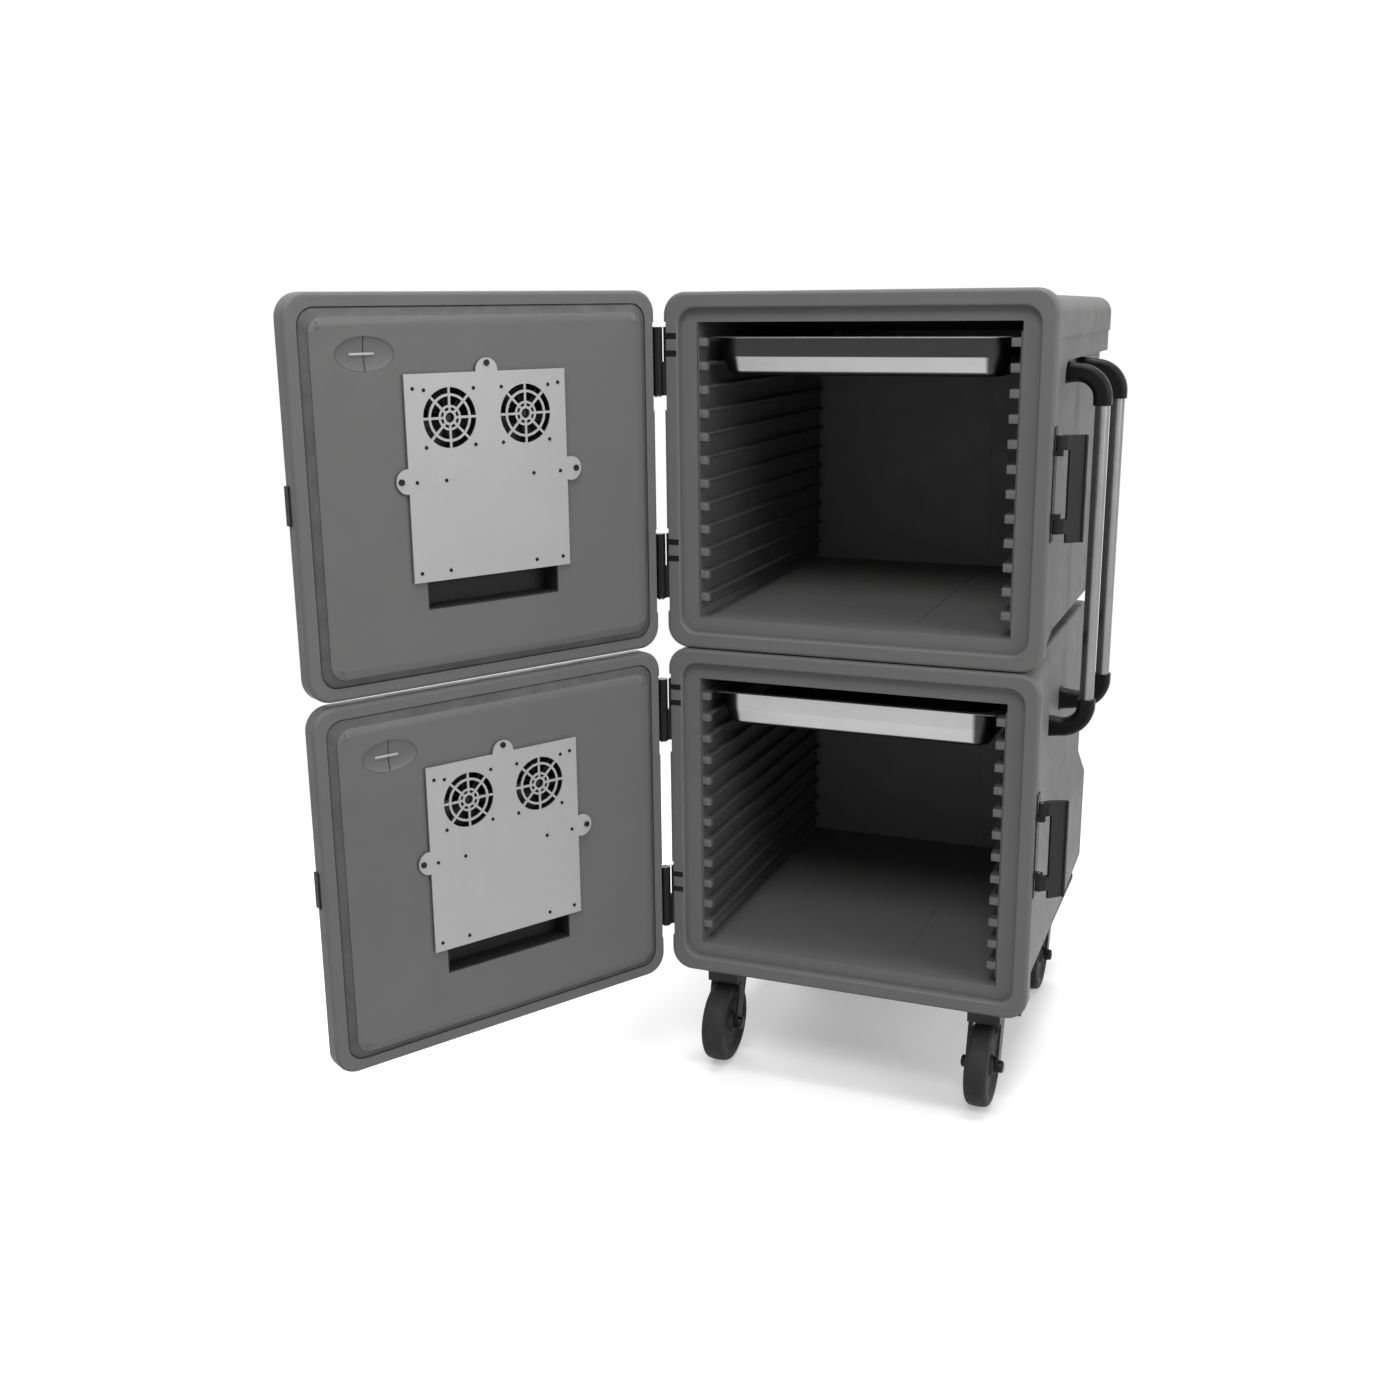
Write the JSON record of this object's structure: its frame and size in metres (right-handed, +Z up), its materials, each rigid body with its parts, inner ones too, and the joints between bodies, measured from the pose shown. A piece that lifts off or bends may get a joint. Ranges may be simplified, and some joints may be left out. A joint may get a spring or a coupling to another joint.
{
  "type": "insulated food transport cart",
  "caption": "Insulated food transport cart: two stacked front-loading boxes with ledges, fan-heated hinged doors, latches, push handles and swivel casters.",
  "frame": {"origin": "on the floor under the middle of the outline with both doors open at 120 degrees", "axes": "+Z up, -Y out of the open fronts, +X to the side that carries the push handles and latches"},
  "size_m": [1.0904, 1.3559, 1.437],
  "materials": {
    "shell_grey": "moulded charcoal grey polyethylene, satin, fine grain",
    "black_plastic": "black glass-filled nylon, fine spark texture",
    "gasket_rubber": "dark grey door gasket, matt",
    "rail_plastic": "grey moulded ledges, satin",
    "plate_metal": "light grey anodised sheet, satin",
    "pan_steel": "drawn stainless steel, brushed inside",
    "tube_aluminium": "drawn aluminium tube, satin",
    "caster_steel": "black powder coat",
    "wheel_black": "black rubber tread on a moulded centre",
    "pin_steel": "bright pins"
  },
  "bodies": {
    "cart": {"lower_box_shell": "shell_grey", "lower_left_rail_panel": "rail_plastic", "lower_right_rail_panel": "rail_plastic", "lower_hinge_box_leaves": "black_plastic", "lower_hinge_pins": "pin_steel", "lower_latch_base": "black_plastic", "upper_box_shell": "shell_grey", "upper_left_rail_panel": "rail_plastic", "upper_right_rail_panel": "rail_plastic", "upper_hinge_box_leaves": "black_plastic", "upper_hinge_pins": "pin_steel", "upper_latch_base": "black_plastic", "latch_pins": "pin_steel", "front_handle_tube": "tube_aluminium", "rear_handle_tube": "tube_aluminium", "front_handle_upper_elbow": "black_plastic", "front_handle_lower_elbow": "black_plastic", "rear_handle_upper_elbow": "black_plastic", "rear_handle_lower_elbow": "black_plastic", "base_plate": "black_plastic", "caster_plates": "caster_steel"},
    "lower_door": {"lower_door_shell": "shell_grey", "lower_door_gasket": "gasket_rubber", "lower_door_vent": "shell_grey", "lower_heater_housing": "black_plastic", "lower_heater_plate": "plate_metal", "lower_plate_screws": "black_plastic", "lower_fan_frames": "black_plastic", "lower_hinge_door_leaves": "black_plastic", "lower_latch_keeper": "black_plastic"},
    "lower_fan_1": {"lower_fan_rotor_1": "black_plastic"},
    "lower_fan_2": {"lower_fan_rotor_2": "black_plastic"},
    "lower_latch": {"lower_latch_lever": "black_plastic"},
    "lower_pan_body": {"lower_pan": "pan_steel"},
    "upper_door": {"upper_door_shell": "shell_grey", "upper_door_gasket": "gasket_rubber", "upper_door_vent": "shell_grey", "upper_heater_housing": "black_plastic", "upper_heater_plate": "plate_metal", "upper_plate_screws": "black_plastic", "upper_fan_frames": "black_plastic", "upper_hinge_door_leaves": "black_plastic", "upper_latch_keeper": "black_plastic"},
    "upper_fan_1": {"upper_fan_rotor_1": "black_plastic"},
    "upper_fan_2": {"upper_fan_rotor_2": "black_plastic"},
    "upper_latch": {"upper_latch_lever": "black_plastic"},
    "upper_pan_body": {"upper_pan": "pan_steel"},
    "front_left_caster": {"front_left_caster_fork": "caster_steel", "front_left_caster_axle": "pin_steel"},
    "front_left_wheel": {"front_left_caster_wheel": "wheel_black"},
    "front_right_caster": {"front_right_caster_fork": "caster_steel", "front_right_caster_axle": "pin_steel"},
    "front_right_wheel": {"front_right_caster_wheel": "wheel_black"},
    "rear_left_caster": {"rear_left_caster_fork": "caster_steel", "rear_left_caster_axle": "pin_steel"},
    "rear_left_wheel": {"rear_left_caster_wheel": "wheel_black"},
    "rear_right_caster": {"rear_right_caster_fork": "caster_steel", "rear_right_caster_axle": "pin_steel"},
    "rear_right_wheel": {"rear_right_caster_wheel": "wheel_black"}
  },
  "joints": [
    {"name": "lower_door_hinge", "type": "hinge", "parent": "cart", "child": "lower_door", "pos_m": [-0.18391, -0.09277, 0.344], "axis": [0, 0, -1], "range_deg": [-120, 80]},
    {"name": "lower_fan_1_spin", "type": "hinge", "parent": "lower_door", "child": "lower_fan_1", "pos_m": [-0.37802, -0.46498, 0.6263], "axis": [-0.866, 0.5, 0], "continuous": true},
    {"name": "lower_fan_2_spin", "type": "hinge", "parent": "lower_door", "child": "lower_fan_2", "pos_m": [-0.30937, -0.34608, 0.6263], "axis": [-0.866, 0.5, 0], "continuous": true},
    {"name": "lower_latch_pivot", "type": "hinge", "parent": "cart", "child": "lower_latch", "pos_m": [0.49909, -0.07577, 0.518], "axis": [0, 0, 1], "range_deg": [-131.5, 35]},
    {"name": "lower_pan_slide", "type": "slide", "parent": "cart", "child": "lower_pan_body", "axis": [0, -1, 0], "range_m": [0, 0.45]},
    {"name": "upper_door_hinge", "type": "hinge", "parent": "cart", "child": "upper_door", "pos_m": [-0.18391, -0.09277, 0.966], "axis": [0, 0, -1], "range_deg": [-120, 80]},
    {"name": "upper_fan_1_spin", "type": "hinge", "parent": "upper_door", "child": "upper_fan_1", "pos_m": [-0.37802, -0.46498, 1.2473], "axis": [-0.866, 0.5, 0], "continuous": true},
    {"name": "upper_fan_2_spin", "type": "hinge", "parent": "upper_door", "child": "upper_fan_2", "pos_m": [-0.30937, -0.34608, 1.2473], "axis": [-0.866, 0.5, 0], "continuous": true},
    {"name": "upper_latch_pivot", "type": "hinge", "parent": "cart", "child": "upper_latch", "pos_m": [0.49909, -0.07577, 1.128], "axis": [0, 0, 1], "range_deg": [-131.5, 35]},
    {"name": "upper_pan_slide", "type": "slide", "parent": "cart", "child": "upper_pan_body", "axis": [0, -1, 0], "range_m": [0, 0.45]},
    {"name": "front_left_caster_swivel", "type": "hinge", "parent": "cart", "child": "front_left_caster", "pos_m": [-0.09291, 0.00923, 0.198], "axis": [0, 0, 1], "continuous": true},
    {"name": "front_left_wheel_spin", "type": "hinge", "parent": "front_left_caster", "child": "front_left_wheel", "pos_m": [-0.09291, -0.02877, 0.076], "axis": [1, 0, 0], "continuous": true},
    {"name": "front_right_caster_swivel", "type": "hinge", "parent": "cart", "child": "front_right_caster", "pos_m": [0.40709, 0.00923, 0.198], "axis": [0, 0, 1], "continuous": true},
    {"name": "front_right_wheel_spin", "type": "hinge", "parent": "front_right_caster", "child": "front_right_wheel", "pos_m": [0.40709, -0.02877, 0.076], "axis": [1, 0, 0], "continuous": true},
    {"name": "rear_left_caster_swivel", "type": "hinge", "parent": "cart", "child": "rear_left_caster", "pos_m": [-0.09291, 0.53423, 0.198], "axis": [0, 0, 1], "continuous": true},
    {"name": "rear_left_wheel_spin", "type": "hinge", "parent": "rear_left_caster", "child": "rear_left_wheel", "pos_m": [-0.09291, 0.49623, 0.076], "axis": [1, 0, 0], "continuous": true},
    {"name": "rear_right_caster_swivel", "type": "hinge", "parent": "cart", "child": "rear_right_caster", "pos_m": [0.40709, 0.53423, 0.198], "axis": [0, 0, 1], "continuous": true},
    {"name": "rear_right_wheel_spin", "type": "hinge", "parent": "rear_right_caster", "child": "rear_right_wheel", "pos_m": [0.40709, 0.49623, 0.076], "axis": [1, 0, 0], "continuous": true}
  ]
}
